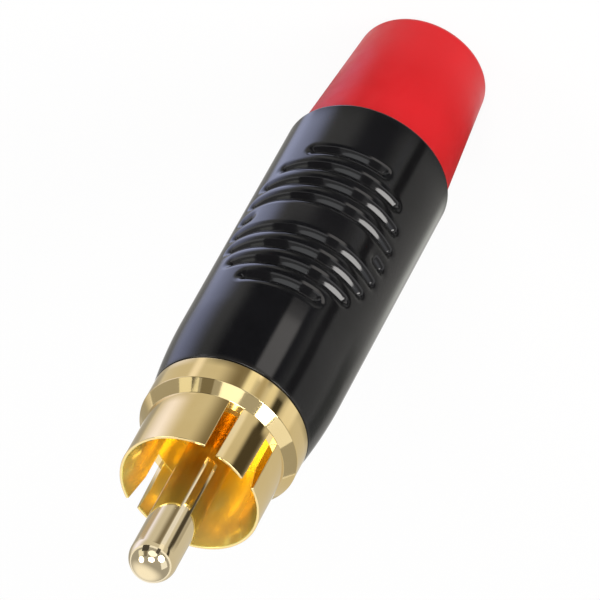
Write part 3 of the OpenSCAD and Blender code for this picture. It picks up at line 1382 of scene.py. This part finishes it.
    def for_mirrors(self, obj: Object, tree: Tree) -> None:
        """Gives a stage object its material and hides it from all but mirror rays.

        Args:
            obj: The object.
            tree: Its material's nodes.
        """
        obj.data.materials.append(tree.owner)
        obj.visible_camera = obj.visible_diffuse = obj.visible_shadow = False
        obj.visible_transmission = obj.visible_volume_scatter = False

    def aim_at_plug(self, obj: Object, spot: Placed) -> None:
        """Places an object round the plug and turns it to the plug.

        Args:
            obj: The object; its own -Z looks at the plug.
            spot: Its place.
        """
        up = math.radians(spot.elevation)
        turn = math.radians(CAMERA_SIDE + spot.azimuth)
        away = Vector(polar(math.cos(up), turn, math.sin(up)))
        obj.location = Vector((0, 0, self.aim * MM)) + away * spot.distance
        obj.rotation_euler = away.to_track_quat("Z", "Y").to_euler()

    def hang(self, box: Softbox) -> None:
        """Hangs one softbox.

        Args:
            box: The softbox.
        """
        data = bpy.data.lights.new(box.name, "AREA")
        data.shape, data.size, data.size_y = "ELLIPSE", box.width, box.height
        data.energy, data.color = box.power, box.colour
        self.aim_at_plug(linked(box.name, data), box)

    def surroundings(self) -> None:
        """Sets the world: pale to the camera, soft room for light, and for mirrors a painted
        reflection that is darker in front.
        """
        world = bpy.data.worlds.new("room")
        bpy.context.scene.world = world
        tree = Tree(world)
        path = tree.add("LightPath").outputs
        behind = polar(-self.mirror_out, math.radians(CAMERA_SIDE), self.mirror_up)
        look = tree.add("TexCoord").outputs["Generated"]
        facing = tree.add("VectorMath", look, behind, operation="DOT_PRODUCT").outputs["Value"]
        light = tree.add(
            "MapRange",
            facing,
            *self.mirror_ends,
            *self.mirror_light,
            interpolation_type="SMOOTHSTEP",
        )
        room = tree.add("Background", (*self.room_colour, 1), self.room_light)
        mirror = tree.add("Background", (*self.mirror_colour, 1), light)
        unseen = tree.add("MixShader", path["Is Glossy Ray"], room, mirror)
        backdrop = tree.add("Background", (*self.backdrop, 1))
        tree.show(tree.add("MixShader", path["Is Camera Ray"], unseen, backdrop))

    def build(self) -> None:
        """Sets up table, cards, panels, lamps and world."""
        self.table()
        for card in self.table_cards:
            self.lay(card, 0.0)
        for card in self.shelf_cards:
            self.lay(card, self.shelf)
        for panel in self.panels:
            self.stand(panel)
        for box in self.lamps:
            self.hang(box)
        self.surroundings()
        bpy.context.scene.view_settings.view_transform = "Standard"


@dataclass
class Camera:
    """Camera that sees the plug as the photo does, from in front and above.

    Right and down are the picture's axes as parts outward, across and up.
    """

    seam: float = SEAM
    out: float = 320.73
    up: float = 288.71
    lens: float = 401.5
    sensor: float = 36.0
    near_m: float = 0.01
    far_m: float = 20.0
    right: Triple = (0.33141, -0.87521, -0.35238)
    down: Triple = (-0.59885, -0.48374, 0.63826)

    def build(self) -> None:
        """Makes the camera."""
        a = math.radians(CAMERA_SIDE)
        out = Vector(polar(1, a, 0))
        across = Vector(polar(1, a + QUARTER, 0))
        axes = Matrix((out, across, Vector((0, 0, 1)))).transposed()
        right = (axes @ Vector(self.right)).normalized()
        top = -(axes @ Vector(self.down)).normalized()
        turn = Matrix((right, top, right.cross(top).normalized())).transposed().to_4x4()
        data = bpy.data.cameras.new("camera")
        data.lens, data.sensor_width = self.lens, self.sensor
        data.clip_start, data.clip_end = self.near_m, self.far_m
        obj = linked("camera", data)
        place = out * self.out + Vector((0, 0, self.seam + self.up))
        obj.matrix_world = Matrix.Translation(place * MM) @ turn
        bpy.context.scene.camera = obj


def main() -> None:
    """Builds the plug's pieces, then the studio and the camera."""
    logging.basicConfig(level=logging.INFO, format="%(name)s: %(message)s")
    pieces = (
        Shell().build(BlackLacquer().make()),
        Boot().build(SoftRubber().make()),
        GroundContact().build(GoldPlate().make(), GoldWithPaintedShade().make()),
        SignalPin().build(PIN_GOLD_PAINTED_SHADE.make()),
        CarriedNode("insulator").build(IVORY.make()),
        CarriedNode("chuck").build(CHUCK_WHITE.make()),
    )
    for piece in pieces:
        finish = piece.material_slots[0].material.name
        LOG.info("%s: %d faces, %s", piece.name, len(piece.data.polygons), finish)
    Studio().build()
    Camera().build()


if __name__ == "__main__":
    main()
